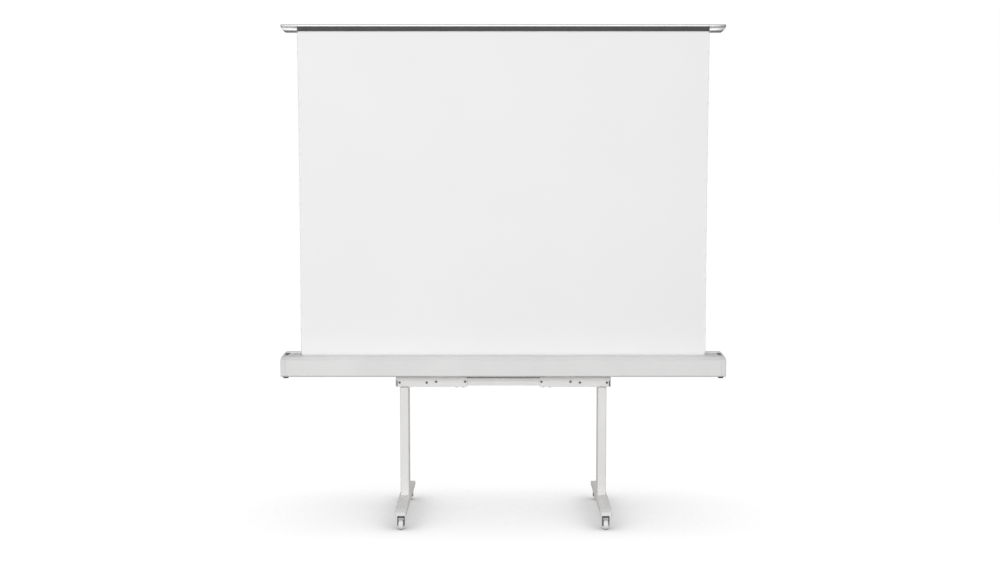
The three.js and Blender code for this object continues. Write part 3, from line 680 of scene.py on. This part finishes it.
# -------------------- the housing's small pieces
def make_housing_details():
    cap_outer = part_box("end_cap_right")[1].x
    pad_inner, pad_outer = cap_outer - 0.0285, cap_outer - 0.0115

    def slot_block(x, inset, z, rounding, segments):
        """A block across the slot, held back by inset from the slot's front and back."""
        across = (SLOT_FRONT + inset, SLOT_BACK - inset)
        return round_edges(block(x, across, z), rounding, segments)

    for label, side in SIDES:
        pad = slot_block((pad_inner, pad_outer), 0.003, (SEAT_BOTTOM, SEAT_TOP), 0.0005, 2)
        ribs = []
        for k in range(1, 4):
            start = pad_inner + 0.004 * k
            ribs.append(slot_block((start, start + 0.002), 0.005,
                                   (SEAT_BOTTOM + 0.0005, SEAT_RIBS_TOP), 0.0002, 1))
        piece(f"seat_pad_{label}", mirrored(merged([pad, *ribs]), side), SEAT, "housing")
        guide = merged([
            slot_block((GUIDE_INNER, GUIDE_OUTER), 0.0008, (GUIDE_BOTTOM, GUIDE_TOP), 0.0008, 2),
            slot_block((GUIDE_INNER + 0.001, GUIDE_INNER + 0.0045), 0.006,
                       (GUIDE_TOP - 0.0004, GUIDE_TOP + 0.0008), 0.0005, 2),
        ])
        piece(f"slot_guide_{label}", mirrored(guide, side), CAP, "housing")
    low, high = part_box("power_rocker")
    cx, cz = (low.x + high.x) / 2, (low.z + high.z) / 2
    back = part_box("housing_rear_shell")[1].y
    frame_parts = []
    for x, z in (((cx - 0.0115, cx + 0.0115), (cz + 0.0115, cz + 0.0150)),
                 ((cx - 0.0115, cx + 0.0115), (cz - 0.0150, cz - 0.0115)),
                 ((cx - 0.0115, cx - 0.0075), (cz - 0.0115, cz + 0.0115)),
                 ((cx + 0.0075, cx + 0.0115), (cz - 0.0115, cz + 0.0115))):
        frame_parts.append(round_edges(block(x, (back + 0.0002, back + 0.0022), z), 0.0006, 2))
    piece("rocker_bezel", merged(frame_parts), BLACK, "housing")


# -------------------- the stand's rail, plugs and clamp screws
def make_stand_details():
    low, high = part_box("crossbar_rail")
    f, r, b, t = low.y, high.y, low.z, high.z
    front = [(f, b + 0.0015), (f + 0.0015, b), (r - 0.0015, b), (r, b + 0.0015)]
    back = [(r, b + 0.012), (r - 0.002, b + 0.0135), (r - 0.002, b + 0.0245), (r, b + 0.026),
            (r, t - 0.0015), (r - 0.0015, t), (f + 0.0015, t), (f, t - 0.0015)]
    ribs = [(f, b + 0.026), (f + 0.002, b + 0.0245), (f + 0.002, b + 0.0135), (f, b + 0.012)]
    rail = prism("X", front + back + ribs, low.x, high.x)
    piece("ribbed_rail", rail, STAND_PAINT, "housing", ["crossbar_rail"], 20.0)
    for label, side in SIDES:
        sleeve_low, sleeve_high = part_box(f"crossbar_sleeve_{label}")
        end = max(abs(sleeve_low.x), abs(sleeve_high.x))
        y, z0, z1 = sleeve_high.y, sleeve_low.z, sleeve_high.z
        wall = 0.0028
        plug = round_edges(block((end - 0.0020, end + 0.0016), (-y + wall, y - wall),
                                 (z0 + wall, z1 - wall)), 0.0008, 2)
        piece(f"sleeve_plug_{label}", mirrored(plug, side), BLACK, f"leg_{label}")
        screws = []
        for x in (0.208, 0.244):
            screws.append(lathe("Z", (x, -0.012, 0), [
                (0, z0 - 0.0042), (0.0026, z0 - 0.0042), (0.0026, z0 - 0.0022),
                (0.0034, z0 - 0.0050), (0.0056, z0 - 0.0046), (0.0062, z0 - 0.0036),
                (0.0062, z0 - 0.0003), (0, z0 - 0.0003)], 28))
        piece(f"clamp_screws_{label}", mirrored(merged(screws), side), STEEL, f"leg_{label}")


# -------------------- casters
def make_casters():
    for label, side in SIDES:
        for place in ("front", "rear"):
            name = f"{place}_{label}"
            low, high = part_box(f"caster_wheel_{name}")
            centre = (low + high) / 2
            radius, half = (high.z - low.z) / 2, (high.x - low.x) / 2
            profile = [
                (0.0044, -half + 0.002), (0.0085, -half + 0.0006), (0.0098, -half + 0.0022),
                (0.0165, -half + 0.0028), (0.0185, -half + 0.0008), (radius - 0.0045, -half),
                (radius - 0.0018, -half + 0.0014), (radius - 0.0003, -half + 0.0045),
                (radius, -half + 0.009),
            ]
            profile = profile + [(u, -v) for u, v in reversed(profile)]
            wheel = lathe("X", centre, profile, 64)
            piece(f"wheel_{name}", wheel, WHEEL, f"caster_wheel_{name}",
                  [f"caster_wheel_{name}"], 40.0)
            make_fork(name, centre)


def make_fork(name, axle):
    low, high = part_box(f"caster_fork_{name}")
    outwards = 1 if axle.y > 0 else -1
    stem_y = axle.y - outwards * CASTER_TRAIL
    x0, x1 = low.x + 0.001, high.x - 0.001

    def side_view(points):
        return [(stem_y + outwards * y, z) for y, z in points]

    cheek = side_view([(-0.009, CROWN_TOP), (-0.0112, 0.052), (-0.006, 0.040), (0.003, 0.0215),
                       (0.0075, 0.0172), (0.012, 0.0160), (0.0168, 0.0175), (0.0205, 0.0225),
                       (0.026, 0.042), (0.028, 0.055), (0.0245, 0.0630), (0.020, CROWN_TOP)])
    bridge = side_view([(-0.009, 0.0555), (0.0135, 0.0555), (0.0150, 0.0580), (0.0138, CROWN_TOP),
                        (-0.009, CROWN_TOP), (-0.0105, 0.060)])
    middle = (x0 + x1) / 2
    body = merged([
        round_edges(prism("X", cheek, x0, x0 + 0.004), 0.0010, 2),
        round_edges(prism("X", cheek, x1 - 0.004, x1), 0.0010, 2),
        round_edges(prism("X", bridge, x0 + 0.0005, x1 - 0.0005), 0.0014, 3),
    ])
    swivel_bearing = [(0, 0.064), (0.0128, 0.064), (0.0130, 0.0690), (0.0118, 0.0698),
                      (0.0118, 0.0716), (0.0130, 0.0724), (0.0126, 0.0764), (0, 0.0764)]
    stem = [(0, 0.075), (0.0050, 0.075), (0.0050, 0.0890), (0.0040, 0.0900), (0, 0.0900)]
    start, end = x0 - axle.x, x1 - axle.x
    metal = merged([
        lathe("Z", (middle, stem_y, 0), swivel_bearing),
        lathe("Z", (middle, stem_y, 0), stem),
        lathe("X", axle, [(0, start - 0.001), (0.0034, start - 0.001), (0.0040, start - 0.0004),
                          (0.0040, end + 0.0004), (0.0034, end + 0.001), (0, end + 0.001)]),
    ])
    carrier = f"caster_fork_{name}"
    piece(f"fork_{name}", body, FORK, carrier, [carrier])
    piece(f"stem_{name}", metal, STEEL, carrier)


# -------------------- arms: spring barrels and pin heads
def make_arm_details():
    for label, side in SIDES:
        low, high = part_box(f"elbow_spring_{label}")
        radius = (high.z - low.z) / 2
        cx, cz = max(abs(low.x), abs(high.x)) - radius, (low.z + high.z) / 2
        y0, y1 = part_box(f"lower_arm_{label}")[1].y + 0.0003, high.y
        turns = []
        steps = 4
        pitch = (y1 - 0.004 - (y0 + 0.003)) / steps
        for k in range(steps):
            y = y0 + 0.003 + pitch * k
            turns += [(radius - 0.0016, y), (radius - 0.0001, y + pitch * 0.25),
                      (radius - 0.0001, y + pitch * 0.7)]
        cover = [(radius - 0.0016, y1 - 0.004), (radius - 0.0004, y1 - 0.0034),
                 (radius - 0.0010, y1 - 0.0006), (radius - 0.0024, y1),
                 (0.0090, y1), (0.0086, y1 - 0.0012), (0.0064, y1 - 0.0014),
                 (0.0060, y1 - 0.0002), (0, y1 - 0.0002)]
        base = [(0, y0), (radius, y0), (radius, y0 + 0.0022)]
        barrel = lathe("Y", (cx, 0, cz), [*base, *turns, *cover], 56)
        pin = lathe("Y", (cx, 0, cz), [(0, low.y), (0.0052, low.y), (0.0060, low.y + 0.0008),
                                       (0.0060, y0 + 0.001), (0, y0 + 0.001)], 32)
        piece(f"spring_barrel_{label}", mirrored(merged([barrel, pin]), side), STEEL,
              f"lower_arm_{label}", [f"elbow_spring_{label}"])


make_camera()
make_floor()
softboxes = make_light()
dress_cad()
make_fabric()
make_bar_ends()
make_housing_details()
make_stand_details()
make_casters()
make_arm_details()
light_only_the_object(softboxes)
